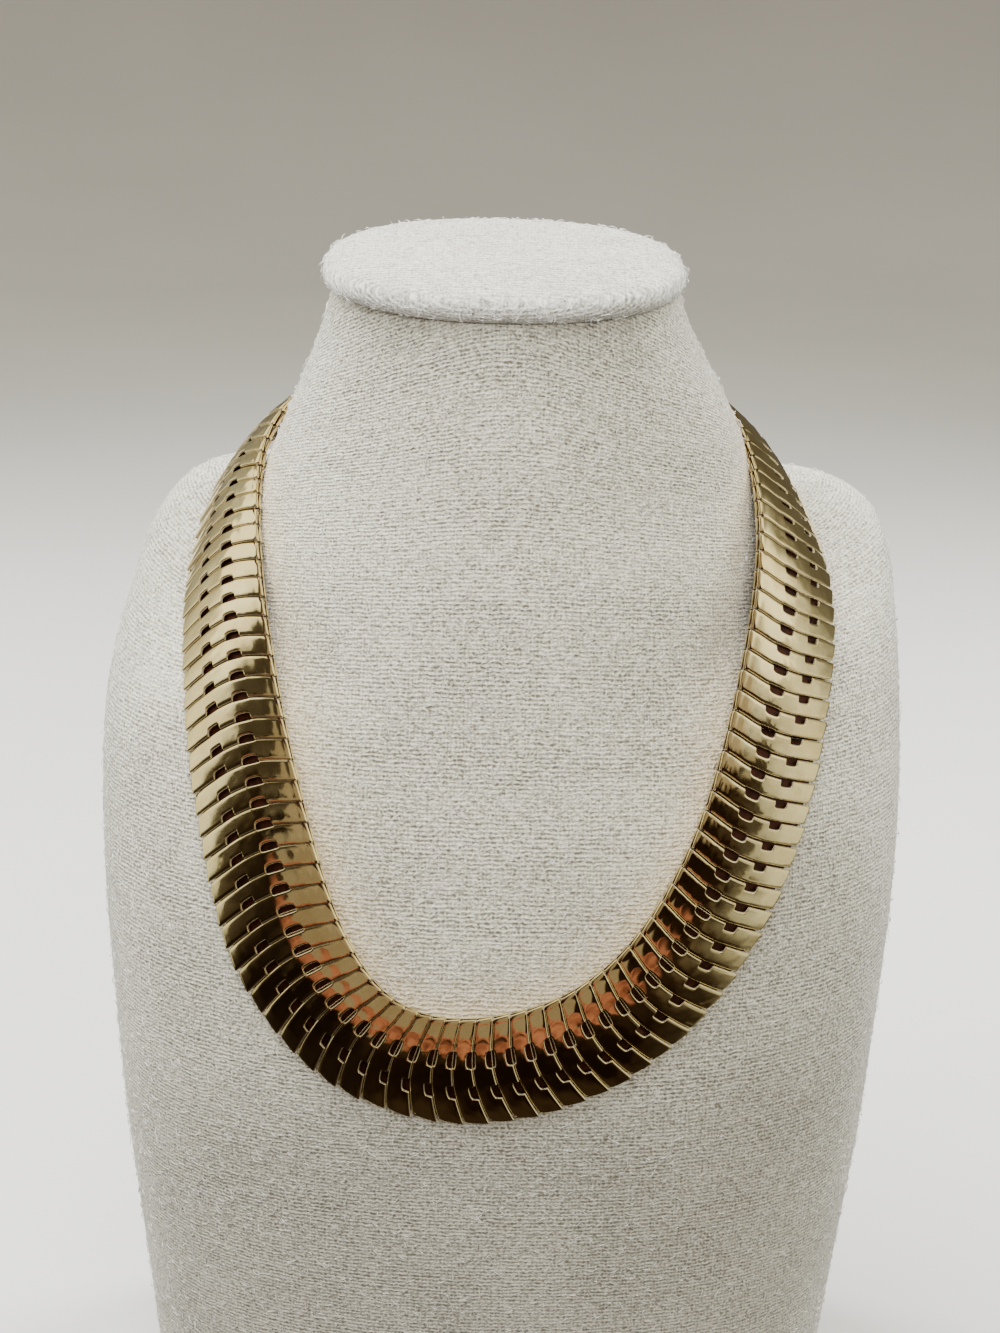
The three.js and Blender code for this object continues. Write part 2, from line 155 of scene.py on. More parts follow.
BAND_STATIONS = [
    # inner edge x, y, z, outer edge x, y, z, at even steps from behind the neck towards -X
    (0, 52.5, 268.8, 0, 63.5, 245.3),
    (-25.7, 47.4, 269.8, -32.5, 60.5, 248.8),
    (-48.1, 32.1, 267.2, -58.2, 48.8, 249.6),
    (-60.2, 13.6, 255.8, -74, 30.2, 242.8),
    (-61.2, -8.5, 238.1, -80.3, 2.1, 223.9),
    (-55.7, -33.2, 211.7, -78.1, -27.2, 201.4),
    (-46.9, -52.7, 181.5, -72.1, -47.3, 170.5),
    (-36.4, -64.1, 153, -61, -60.7, 138.1),
    (-23.8, -69.5, 137.6, -37.7, -69.6, 115.1),
    (-6.7, -71.1, 133.8, -5.2, -72.8, 107.6),
    (15.2, -70, 139.5, 27.3, -71.3, 116.7),
    (32.6, -64.9, 153.4, 52.4, -63.3, 136.6),
    (46.2, -55.1, 176.1, 69.1, -50.6, 164.1),
    (55.6, -38.5, 206.3, 78.6, -31.8, 196.3),
    (61, -16.2, 236.5, 81.5, -5, 223.9),
    (58.5, 10.9, 258.2, 73.4, 27.4, 244.2),
    (46.6, 31.9, 268.6, 57.6, 48.8, 250.9),
    (25.2, 46.8, 270, 32.5, 60.5, 249.2),
]
LINK_SECTIONS = [
    # share of the width, height of the crown, how far the joint lines run ahead
    (0, 1.35, 2.1),
    (0.05, 2, 1.75),
    (0.25, 2.75, 0.35),
    (0.36, 2.98, 0.06),
    (0.44, 3, 0),
    (0.6, 2.6, 0.35),
    (0.74, 2, 1.1),
    (0.88, 1.25, 1.95),
    (1, 0.4, 2.75),
]
CROWN, AHEAD = 1, 2
LINK_RUNS = [
    ("links_left_back", 0),
    ("links_left_side", 15),
    ("links_left_front", 31),
    ("links_front", 46),
    ("links_right_front", 61),
    ("links_right_side", 76),
    ("links_right_back", 92),
]


# ---------------------------------------------------------------- helpers
def along(table, column, at):
    """A smooth curve through one column of a table, clamped at both ends."""
    keys = np.array([row[0] for row in table], float)
    values = np.array([row[column] for row in table], float)
    at = np.clip(at, keys[0], keys[-1])
    slopes = np.diff(values) / np.diff(keys)
    tangents = np.concatenate([slopes[:1], (slopes[1:] + slopes[:-1]) / 2, slopes[-1:]])
    i = np.clip(np.searchsorted(keys, at, side="left") - 1, 0, len(keys) - 2)
    span = keys[i + 1] - keys[i]
    t = (at - keys[i]) / span
    return (
        (2 * t**3 - 3 * t**2 + 1) * values[i]
        + (t**3 - 2 * t**2 + t) * span * tangents[i]
        + (3 * t**2 - 2 * t**3) * values[i + 1]
        + (t**3 - t**2) * span * tangents[i + 1]
    )


def smooth(low, high, value):
    t = np.clip((value - low) / (high - low), 0, 1)
    return t * t * (3 - 2 * t)


def to_frame(points):
    """From the tables' millimetres to the frame's metres."""
    return (np.asarray(points) - TABLE_MIDDLE) * MM


def new_mesh(name, points, faces):
    mesh = bpy.data.meshes.new(name)
    mesh.from_pydata([tuple(p) for p in points], [], [tuple(f) for f in faces])
    mesh.update()
    mesh.polygons.foreach_set("use_smooth", [True] * len(mesh.polygons))
    piece = bpy.data.objects.new(name, mesh)
    bpy.context.scene.collection.objects.link(piece)
    return piece


def ring_faces(rings, sides):
    """Quads between closed rings of points that are stored one after another."""
    r, s = np.meshgrid(np.arange(rings - 1), np.arange(sides), indexing="ij")
    after = (s + 1) % sides
    quads = [r * sides + s, r * sides + after, (r + 1) * sides + after, (r + 1) * sides + s]
    return np.stack(quads, -1).reshape(-1, 4).tolist()


def loft(rings):
    """Points and faces of one closed form through its rings, with both ends closed."""
    count, sides = rings.shape[:2]
    faces = ring_faces(count, sides)
    faces.append(list(range(sides))[::-1])
    last = (count - 1) * sides
    faces.append(list(range(last, last + sides)))
    return rings.reshape(-1, 3), faces


def between_rows(table, column, steps):
    """A smooth curve through one column of a table, with this many steps from each row to the next."""
    numbered = [(i, row[column]) for i, row in enumerate(table)]
    return along(numbered, 1, np.arange(0, (len(table) - 1) * steps + 1) / steps)


# ---------------------------------------------------------------- neck bust
def slope_at(height):
    """Grows from nothing to the whole slope, with rounded ends so that the skin has no crease."""
    t = (np.asarray(height, float) - SLOPE_START) / (SLOPE_FULL - SLOPE_START)

    def ramp_from(value):
        inside = np.clip(value + SLOPE_SOFTNESS, 0, 2 * SLOPE_SOFTNESS)
        return inside**2 / (4 * SLOPE_SOFTNESS) + np.maximum(value - SLOPE_SOFTNESS, 0)

    return SHOULDER_SLOPE * (ramp_from(t) - ramp_from(t - 1))


def height_of(level, y):
    return level + slope_at(level) * (y - SLOPE_PIVOT_Y)


def reach(sections, level, x, y, front_roundness, back_roundness):
    """How far out a point lies in one form's section: 1 on its skin, less inside."""
    half = along(sections, HALF, level)
    wide = along(sections, WIDE, level)
    is_front = y < wide
    edge = np.where(is_front, along(sections, FRONT, level), along(sections, BACK, level))
    roundness = np.where(is_front, front_roundness, back_roundness)
    across = np.abs(x / half) ** roundness
    deep = np.abs((y - wide) / (edge - wide)) ** roundness
    return (across + deep) ** (1 / roundness)


def bust_reach(x, y, z):
    level = z - slope_at(z) * (y - SLOPE_PIVOT_Y)
    body_side = along(BODY_SECTIONS, SIDE, level)
    body = reach(BODY_SECTIONS, level, x - body_side, y, FRONT_ROUNDNESS, BACK_ROUNDNESS)
    body = body + ABOVE_BODY * np.maximum(level - BODY_SECTIONS[-1][LEVEL], 0)
    neck_side = along(NECK_SECTIONS, SIDE, z)
    neck = reach(NECK_SECTIONS, z, x - neck_side, y, NECK_ROUNDNESS, NECK_ROUNDNESS)
    least = np.minimum(body, neck)
    return least - np.log(np.exp(-BLEND * (body - least)) + np.exp(-BLEND * (neck - least))) / BLEND


def bust_grid(levels, axes, sides):
    """Points of the bust's skin, one closed ring for each level."""
    angles = 2 * math.pi * np.arange(sides) / sides - math.pi / 2
    level = np.asarray(levels)[:, None]
    axis = np.asarray(axes)[:, None]

    def at(radius):
        x = radius * np.cos(angles)
        y = axis + radius * np.sin(angles)
        return x, y, height_of(level, y)

    inside = np.zeros((len(levels), sides))
    outside = np.full_like(inside, RAY_LENGTH)
    for _ in range(HALVINGS):
        radius = (inside + outside) / 2
        is_inside = bust_reach(*at(radius)) < 1
        inside = np.where(is_inside, radius, inside)
        outside = np.where(is_inside, outside, radius)
    return np.stack(at(inside), -1)


BUST_SIDES = 200
STEPS_PER_RING = 6
HEM_HEIGHT = 0.3
HEM_INSET = 0.985  # the sizes of the cover's hem, foot and upper lip against the rings next to them
FOOT_INSET = 0.96
LIP_INSET = 0.975
LIP_RISE = 0.15
CAP_STEPS = 4
FIBRE_LENGTHS = (0.9, 3.2)
FIBRE_LIFTS = (0.02, 0.28)  # how high a fibre stands, as a share of its length
FIBRE_BEND = 0.3
FIBRE_SPINE = [
    # shares of the length ahead, of the bend aside and of the lift, depth in the skin, radius
    (0, 0, 0, 0.05, 0.09),
    (0.5, 0, 1, 0, 0.12),
    (0.85, 1, 0.7, 0, 0.04),
]
FIBRE_CORNERS = (0, 2.1, 4.2)
FIBRE_FLOOR = 0.4  # no fibre reaches below this height
BUST_FIBRES = 15000
CAP_FIBRES = 1500


def weave_map(piece, grid):
    """Gives a ringed piece a map in metres: to both sides from the front, and up each meridian."""
    rings, sides = grid.shape[:2]
    steps = np.linalg.norm(np.diff(grid, axis=0), axis=-1)
    up = np.vstack([np.zeros(sides), np.cumsum(steps, 0)])
    closed = np.concatenate([grid, grid[:, :1]], 1)
    around = np.cumsum(np.linalg.norm(np.diff(closed, axis=1), axis=-1), 1)
    around = np.hstack([np.zeros((rings, 1)), around])
    up = np.hstack([up, up[:, :1]])
    r, s = np.meshgrid(np.arange(rings - 1), np.arange(sides), indexing="ij")
    corners = [(r, s), (r, s + 1), (r + 1, s + 1), (r + 1, s)]
    backwards = s >= sides // 2
    u = [around[i, j] - backwards * around[i, sides] for i, j in corners]
    v = [up[i, j] for i, j in corners]
    values = np.zeros((len(piece.data.loops), 2))
    mapped = np.stack([np.stack(u, -1), np.stack(v, -1)], -1).reshape(-1, 2)
    values[: len(mapped)] = mapped
    layer = piece.data.uv_layers.new(name="weave")
    layer.data.foreach_set("uv", values.ravel())


def flat_map(piece):
    """Gives the cap its map in metres: straight down on its top, and on down its rim."""
    mesh = piece.data
    layer = mesh.uv_layers.new(name="weave")
    for loop, spot in zip(mesh.loops, layer.data):
        x, y, z = mesh.vertices[loop.vertex_index].co
        spot.uv = x, y - z


def build_bust():
    levels = between_rows(BUST_RINGS, 0, STEPS_PER_RING)
    axes = between_rows(BUST_RINGS, 1, STEPS_PER_RING)
    grid = bust_grid(levels, axes, BUST_SIDES)
    hem = grid[0] * [HEM_INSET, HEM_INSET, 0]
    hem[:, 2] = HEM_HEIGHT
    foot = grid[0] * [FOOT_INSET, FOOT_INSET, 0]
    middle = grid[-1].mean(0)
    lip = middle + (grid[-1] - middle) * LIP_INSET
    lip[:, 2] += LIP_RISE
    grid = np.concatenate([[foot, hem], grid, [lip]])
    points, faces = loft(grid)
    piece = new_mesh("bust_cover", to_frame(points), faces)
    weave_map(piece, grid * MM)
    return piece, grid


def squared(value):
    return np.sign(value) * np.abs(value) ** (2 / CAP_ROUNDNESS)


def build_cap():
    tilt = math.atan(SHOULDER_SLOPE)
    heights = between_rows(CAP_PROFILE, 0, CAP_STEPS)[:, None]
    insets = between_rows(CAP_PROFILE, 1, CAP_STEPS)[:, None]
    angles = 2 * math.pi * np.arange(BUST_SIDES) / BUST_SIDES - math.pi / 2
    x = (CAP_HALF_WIDTH - insets) * squared(np.cos(angles))
    level_y = (CAP_HALF_DEPTH - insets) * squared(np.sin(angles))
    y = level_y * math.cos(tilt) - heights * math.sin(tilt)
    z = level_y * math.sin(tilt) + heights * math.cos(tilt)
    centre = [CAP_CENTRE_X, CAP_CENTRE_Y, height_of(NECK_TOP, CAP_CENTRE_Y) + SEAM_GAP]
    grid = np.stack([x, y, z], -1) + centre
    points, faces = loft(grid)
    piece = new_mesh("cap_cover", to_frame(points), faces)
    flat_map(piece)
    return piece, grid


def build_fibres(name, grid, count, rng):
    """Short loose fibres on a ringed skin: bent three-sided tubes, that lie almost flat."""
    up = grid[1:] - grid[:-1]
    around = (np.roll(grid, -1, 1) - grid)[:-1]
    across = np.cross(around, up)
    area = np.linalg.norm(across, axis=-1)
    picked = rng.choice(area.size, count, p=area.ravel() / area.sum())
    r, s = np.unravel_index(picked, area.shape)
    start = grid[r, s] + around[r, s] * rng.random((count, 1)) + up[r, s] * rng.random((count, 1))
    out = across[r, s] / area[r, s][:, None]
    level = around[r, s] / np.linalg.norm(around[r, s], axis=1)[:, None]
    turn = rng.uniform(0, 2 * math.pi, (count, 1))
    ahead = level * np.cos(turn) + np.cross(out, level) * np.sin(turn)
    aside = np.cross(out, ahead)
    length = rng.uniform(*FIBRE_LENGTHS, (count, 1))
    lift = rng.uniform(*FIBRE_LIFTS, (count, 1)) * length
    bend = rng.normal(0, FIBRE_BEND, (count, 1)) * length
    rows = []
    for along_share, bend_share, lift_share, sunk, radius in FIBRE_SPINE:
        middle = start + ahead * length * along_share + aside * bend * bend_share
        middle = middle + out * (lift * lift_share - sunk)
        corners = [middle + radius * (out * math.cos(a) + aside * math.sin(a)) for a in FIBRE_CORNERS]
        rows.append(np.stack(corners, 1))
    points = np.stack(rows, 1).reshape(-1, 3)
    points[:, 2] = np.maximum(points[:, 2], FIBRE_FLOOR)
    pattern = np.array(ring_faces(len(FIBRE_SPINE), len(FIBRE_CORNERS)))
    points_each = len(FIBRE_SPINE) * len(FIBRE_CORNERS)
    faces = (np.arange(count)[:, None, None] * points_each + pattern).reshape(-1, 4)
    return new_mesh(name, to_frame(points), faces.tolist())


# ---------------------------------------------------------------- the band's route
INNER = np.array([row[:3] for row in BAND_STATIONS], float)
OUTER = np.array([row[3:] for row in BAND_STATIONS], float)


def edge_point(edge, at):
    """A closed Catmull-Rom curve through one edge's stations."""
    start = np.floor(at).astype(int)
    t = (at - start)[..., None]
    p0, p1, p2, p3 = (edge[(start + offset) % len(edge)] for offset in (-1, 0, 1, 2))
    return 0.5 * (
        2 * p1
        + (p2 - p0) * t
        + (2 * p0 - 5 * p1 + 4 * p2 - p3) * t**2
        + (3 * p1 - p0 - 3 * p2 + p3) * t**3
    )


def base_point(at, share):
    share = share[..., None]
    return edge_point(INNER, at) * (1 - share) + edge_point(OUTER, at) * share


ROUTE_PLACES = np.arange(len(BAND_STATIONS) * STEPS_PER_STATION + 1) / STEPS_PER_STATION
ROUTE_POINTS = base_point(ROUTE_PLACES, np.full_like(ROUTE_PLACES, HINGE_SHARE))
ROUTE_LENGTHS = np.concatenate([[0], np.cumsum(np.linalg.norm(np.diff(ROUTE_POINTS, axis=0), axis=1))])
LOOP_LENGTH = ROUTE_LENGTHS[-1]
PITCH = (LOOP_LENGTH - CLASP_LENGTH - 2 * CLASP_GAP) / LINK_COUNT


def band_point(length, share, height):
    """A point on the band: length along the hinge row, share of the width, height off the base line."""
    at = np.interp(length % LOOP_LENGTH, ROUTE_LENGTHS, ROUTE_PLACES)
    forward = base_point(at + TANGENT_STEP, share) - base_point(at - TANGENT_STEP, share)
    lateral = edge_point(OUTER, at) - edge_point(INNER, at)
    normal = -np.cross(forward, lateral)
    normal /= np.linalg.norm(normal, axis=-1, keepdims=True)
    return base_point(at, share) + normal * height[..., None]


def link_start(number):
    return CLASP_LENGTH / 2 + CLASP_GAP + number * PITCH


# ---------------------------------------------------------------- links
SHEET = 0.45  # thickness of a link's sheet
ROLL = 0.42  # radius of its rolled long edges
SHINGLE = 0.2  # the trailing edge rides this much high, the leading edge this much low
JOINT_GAP = 0.04
HOLES = [
    # from, to, cut into the trailing edge, cut into the next leading edge, squareness
    (0.282, 0.445, 1.5, 0.7, 3.2),
    (0.612, 0.752, 1.62, 0, 4.2),
]
SADDLE_SHARE = 0.364
CREASES = [
    # share at the link's middle, how far it bows out towards the joints, height
    (0.16, 0.055, 0.15),
    (0.3, 0.05, 0.09),
]
CREASE_SPREAD = 0.06
TILT_SPREAD = (0.05, 0.14)  # how far each link's ends and long edges stray from the even run
LINK_TILTS = np.random.default_rng(SEED).normal(0, TILT_SPREAD, (LINK_COUNT + 1, 2))
SAW = 0.008  # how far the trailing outer corner sticks out, as a share of the width
SIDE_RELIEF = 0.25  # the relief of the links at the sides, as a share of the front ones'
RELIEF_SPREAD = 13  # links
OPEN_JOINT = 0.18  # the joints on the +X side are pulled open this much
OPEN_LINKS = (60, 72)
BAR_RELIEF = 0.5  # the next link's bar shows in the inner holes from this much relief up
CORNER_LENGTH = 1.2
CORNER_DEPTH = 0.009
WALL = [
    # share and height up the inner wall: the foot's bead, the groove over it, and the corner's start
    (0.014, 0.03),
    (0.002, 0.12),
    (-0.003, 0.3),
    (0.004, 0.46),
    (0.03, 0.52),
    (0.034, 0.8),
    (0.028, 1.08),
    (0.004, 1.16),
    (0, 1.35),
]
GROOVE_ROWS = (3, 7)  # the rows of the wall that the groove takes up, which get the dark material as painted shade
CORNER_SHARE = 0.05  # where the rounded corner over the inner wall ends
CORNER_ANGLES = np.radians([15, 30, 45, 60, 75, 90])
TOP_SHARES = np.linspace(0.075, 0.985, 28)
HOLE_MARGIN = 0.02
HOLE_END_ROWS = np.array([-0.09, -0.04, 0, 0.03, 0.08, 0.15, 0.23])  # from each end, in holes' widths
HOLE_STEPS = 9
HOLE_MIDDLE_ROWS = slice(3, 6)
CREASE_MARGIN = 0.01
CREASE_ROWS = 8
LIP = [(1.003, 0.22), (1.0, 0.05)]  # share and height of the outer edge's turned-down lip
ROLL_TURNS = np.radians([0, 20, 40, 60, 80])
INNER_ROWS = np.linspace(0, 1, 9)[1:-1]
UNDER_ROWS = np.array([1, 0.66, 0.33, 0])
UNDER_DEPTH = SHEET + ROLL * 0.6
BULGE = 0.05  # how much each link is rounded from one joint to the next
SADDLE_SPREAD = 0.055
SADDLE_HEIGHT = 0.09
SADDLE_SWING = 0.5
SADDLE_REST = 0.1
RIM_START = 0.88
BAR_RADIUS = 0.12
BAR_DEPTH = 0.5
BAR_OVERLAP = 0.012
BAR_STEPS = 12
BAR_SIDES = 8
CORE_SHARES = np.array([0.05, 0.2, 0.32, 0.4, 0.48, 0.56, 0.64, 0.71, 0.79, 0.88, 0.95])
CORE_TOP = 1.15  # depths below the crown
CORE_BOTTOM = 1.5
CORE_END_GAP = 0.15
CLASP_SUNK = 0.7
# The second slot holds the painted shade of the holes' hollows and the wall's groove.
GOLD_SLOT, PAINTED_SHADE_SLOT = 0, 1


def section_path():
    """Across a link from its inner foot to its outer lip: shares and heights of the sheet's face."""
    wall_top = WALL[-1][1]
    corner_height = float(along(LINK_SECTIONS, CROWN, CORNER_SHARE))
    arc = []
    for angle in CORNER_ANGLES:
        share = CORNER_SHARE * (1 - math.cos(angle))
        arc.append((share, wall_top + (corner_height - wall_top) * math.sin(angle)))
    shares = set(TOP_SHARES)
    for first, last, *_ in HOLES:
        width = last - first
        shares = {s for s in shares if not first - HOLE_MARGIN < s < last + HOLE_MARGIN}
        shares |= set(first + width * HOLE_END_ROWS)
        shares |= set(last - width * HOLE_END_ROWS)
        shares |= set(np.linspace(first, last, HOLE_STEPS)[HOLE_MIDDLE_ROWS])
    for middle, bow, _ in CREASES:
        start = middle - CREASE_MARGIN
        end = middle + bow + CREASE_MARGIN
        shares = {s for s in shares if not start < s < end}
        shares |= set(np.linspace(start, end, CREASE_ROWS))
    top = [(s, float(along(LINK_SECTIONS, CROWN, s))) for s in sorted(shares)]
    rim = [(1, float(along(LINK_SECTIONS, CROWN, 1)))]
    return np.array(WALL + arc + top + rim + LIP)


def hole_profile(share, first, last, depth, squareness):
    """Depth of one hole's outline at each share: a rounded octagon's half."""
    t = np.abs((share - (first + last) / 2) / ((last - first) / 2))
    return depth * np.clip(1 - np.clip(t, 0, 1) ** squareness, 0, 1) ** (1 / squareness)


def front_relief(number):
    """The pressed relief and the inner holes' lens shape are full at the front only."""
    return SIDE_RELIEF + (1 - SIDE_RELIEF) * math.exp(-(((number - LINK_COUNT / 2) / RELIEF_SPREAD) ** 2))


def link_rings(number, lead_holes, trail_holes, start=None, end=None, sunk=0.0):
    """One link as rings, one for each step across the band, each going round the sheet."""
    start = link_start(number) if start is None else start
    end = link_start(number + 1) if end is None else end
    relief = front_relief(number)
    gap = JOINT_GAP + OPEN_JOINT * float(smooth(*OPEN_LINKS, number))
    path = section_path()
    share = path[:, 0]
    height = path[:, 1] - sunk
    ahead = along(LINK_SECTIONS, AHEAD, share)
    tangent = np.gradient(path * [BAND_WIDTH, 1], axis=0)
    tangent /= np.linalg.norm(tangent, axis=1, keepdims=True)
    out_share = -tangent[:, 1] / BAND_WIDTH
    out_height = tangent[:, 0]

    lead = np.full_like(share, start + gap) + ahead
    trail = np.full_like(share, end - gap) + ahead
    uncut_lead = lead.copy()
    uncut_span = trail - lead
    for first, last, trail_cut, lead_cut, squareness in HOLES:
        if trail_holes:
            trail -= hole_profile(share, first, last, trail_cut, squareness)
        if lead_holes and lead_cut:
            lead += hole_profile(share, first, last, lead_cut * relief, squareness)

    edge = ROLL * (1 - np.cos(ROLL_TURNS))
    span = trail - lead
    rows = [lead + e for e in edge]
    rows += [lead + ROLL + (span - 2 * ROLL) * t for t in INNER_ROWS]
    rows += [trail - e for e in edge[::-1]]
    length = np.stack(rows, 1)
    from_lead = length - lead[:, None]
    from_trail = trail[:, None] - length
    v = (length - uncut_lead[:, None]) / uncut_span[:, None]

    def roll_drop(distance):
        inside = np.clip(ROLL - distance, 0, ROLL)
        return ROLL - np.sqrt(ROLL**2 - inside**2)

    offset = SHINGLE * (2 * v - 1) - roll_drop(from_lead) - roll_drop(from_trail)
    offset += BULGE * (1 - (2 * v - 1) ** 2)
    swing, lean = LINK_TILTS[number]
    offset += swing * (2 * v - 1) + lean * (share[:, None] - 0.5)

    # The pressed saddle between the inner holes, and the two bowed creases that catch the light.
    u = share[:, None]
    saddle = np.exp(-(((u - SADDLE_SHARE) / SADDLE_SPREAD) ** 2))
    swell = np.cos(2 * math.pi * (v - 0.5)) * SADDLE_SWING + SADDLE_REST
    offset += SADDLE_HEIGHT * relief * saddle * swell
    for middle, bow, height_of_crease in CREASES:
        away = np.abs(u - middle - bow * (2 * v - 1) ** 2)
        offset += height_of_crease * relief * np.exp(-away / CREASE_SPREAD)

    # The outer end: a saw-tooth rim with a rounded leading corner.
    near_rim = smooth(RIM_START, 1.0, u)
    corner = np.clip(1 - from_lead / CORNER_LENGTH, 0, 1) ** 2
    spread = near_rim * (SAW * (v - 0.5) - CORNER_DEPTH * corner)

    under_length = lead[:, None] + span[:, None] * UNDER_ROWS
    under_offset = SHINGLE * (2 * UNDER_ROWS - 1) - UNDER_DEPTH
    under_offset = np.repeat(under_offset[None], len(share), 0)
    under_spread = near_rim * SAW * (UNDER_ROWS - 0.5)

    length = np.concatenate([length, under_length], 1)
    offset = np.concatenate([offset, under_offset], 1)
    spread = np.concatenate([spread, under_spread], 1)
    ring_share = u + spread + out_share[:, None] * offset
    ring_height = height[:, None] + out_height[:, None] * offset
    return band_point(length, ring_share, ring_height)


def bar_rings(joint):
    """The bar of the next link's edge that crosses the inner hole."""
    first, last = HOLES[0][:2]
    share = np.linspace(first - BAR_OVERLAP, last + BAR_OVERLAP, BAR_STEPS)
    crown = along(LINK_SECTIONS, CROWN, share)
    ahead = along(LINK_SECTIONS, AHEAD, share)
    turns = 2 * math.pi * np.arange(BAR_SIDES) / BAR_SIDES
    length = (joint + ahead)[:, None] + BAR_RADIUS * np.cos(turns)
    height = (crown - BAR_DEPTH)[:, None] + BAR_RADIUS * np.sin(turns)
    return band_point(length, np.repeat(share[:, None], BAR_SIDES, 1), height)


def core_rings(start, end, steps):
    """The inner band that shows through the holes, coloured dark as painted shade."""
    crown = along(LINK_SECTIONS, CROWN, CORE_SHARES)
    ahead = along(LINK_SECTIONS, AHEAD, CORE_SHARES)
    rings = []
    for place_along in np.linspace(start, end, steps):
        top = band_point(place_along + ahead, CORE_SHARES, crown - CORE_TOP)
        bottom = band_point(place_along + ahead, CORE_SHARES, crown - CORE_BOTTOM)
        rings.append(np.concatenate([bottom, top[::-1]]))
    return np.array(rings)


# How much painted edge highlight each row of a link gets, from its leading edge round to its underside: a
# paler colour on the rolled edges, with a rougher, duller finish.
EDGE_HIGHLIGHT_WEIGHTS = [1, 0.8, 0.35, 0.1, 0] + [0] * 7 + [0, 0.1, 0.35, 0.8, 1, 1, 0, 0, 1]
BAR_EDGE_HIGHLIGHT = 0.5


def build_run(name, first, end):
    points = []
    faces = []
    materials = []
    edges = []
    total = 0

    def add(rings, material, painted_shade_rows=(0, 0), edge=0.0):
        nonlocal total
        new_points, new_faces = loft(rings)
        points.append(new_points)
        faces.extend([[i + total for i in face] for face in new_faces])
        sides = rings.shape[1]
        dark = range(painted_shade_rows[0] * sides, painted_shade_rows[1] * sides)
        materials.extend([PAINTED_SHADE_SLOT if i in dark else material for i in range(len(new_faces))])
        edges.append(np.broadcast_to(edge, rings.shape[:2]).ravel())
        total += len(new_points)

    for number in range(first, end):
        rings = link_rings(number, number > 0, number < LINK_COUNT - 1)
        # The groove's rows take the painted shade material.
        add(rings, GOLD_SLOT, GROOVE_ROWS, EDGE_HIGHLIGHT_WEIGHTS)
        if front_relief(number) > BAR_RELIEF:
            add(bar_rings(link_start(number)), GOLD_SLOT, edge=BAR_EDGE_HIGHLIGHT)
    steps = (end - first) * 2 + 1
    add(core_rings(link_start(first) + CORE_END_GAP, link_start(end) - CORE_END_GAP, steps), PAINTED_SHADE_SLOT)
    piece = new_mesh(name, to_frame(np.concatenate(points)), faces)
    piece.data.materials.append(GOLD)
    piece.data.materials.append(HOLE_PAINTED_SHADE)
    piece.data.polygons.foreach_set("material_index", materials)
    # The edge weights carry the painted highlight of the rolled edges.
    piece.data.attributes.new("edge", "FLOAT", "POINT").data.foreach_set("value", np.concatenate(edges))
    return piece


# ---------------------------------------------------------------- materials
RIB_PITCH = 0.00105  # of the bust's knit, in metres
WALE_PITCH = 0.0009
# Painted reflected light: a warm glow mixed into the bust's colour near the band's inner edge, in place of
# the light that the gold throws on the fabric.
PAINTED_GLOW_STRENGTH = 0.6
PAINTED_GLOW_REACH = 0.005
PAINTED_GLOW_COLOUR = (1, 0.76, 0.4, 1)
PAINTED_GLOW_STEPS = 300
WOBBLE_REACH = 0.0011  # how far the rows of the knit wander, in metres
RIB_WEIGHT = 0.11
WALE_WEIGHT = 0.035
THREADS_PER_METRE = (720, 900, 1)
RIDGE_SHARPNESS = 7
THREAD_WEIGHT = 0.26
CURL_WEIGHT = 0.14
FLECK_WEIGHT = 0.6
LINT_NOISE = (0.42, 0.68)  # paler patches come where a slow noise is high
LINT_TONES = (-0.03, 0.06)
FABRIC_STOPS = (0.22, 0.48, 0.72)
SPECK_WEIGHT = 0.35
SPECK_HEIGHT = 0.1
SCRATCH_HEIGHT = 0.08
HAZE_TONES = (0.38, 0.68)
GOLD_ROUGHNESS = (0.035, 0.12)
PAINTED_EDGE_HIGHLIGHT = (1, 0.88, 0.58, 1)  # painted highlight: the rolled edges are paler, and they are also rougher and duller
EDGE_ROUGHNESS = 0.12
EDGE_DULLNESS = 0.35


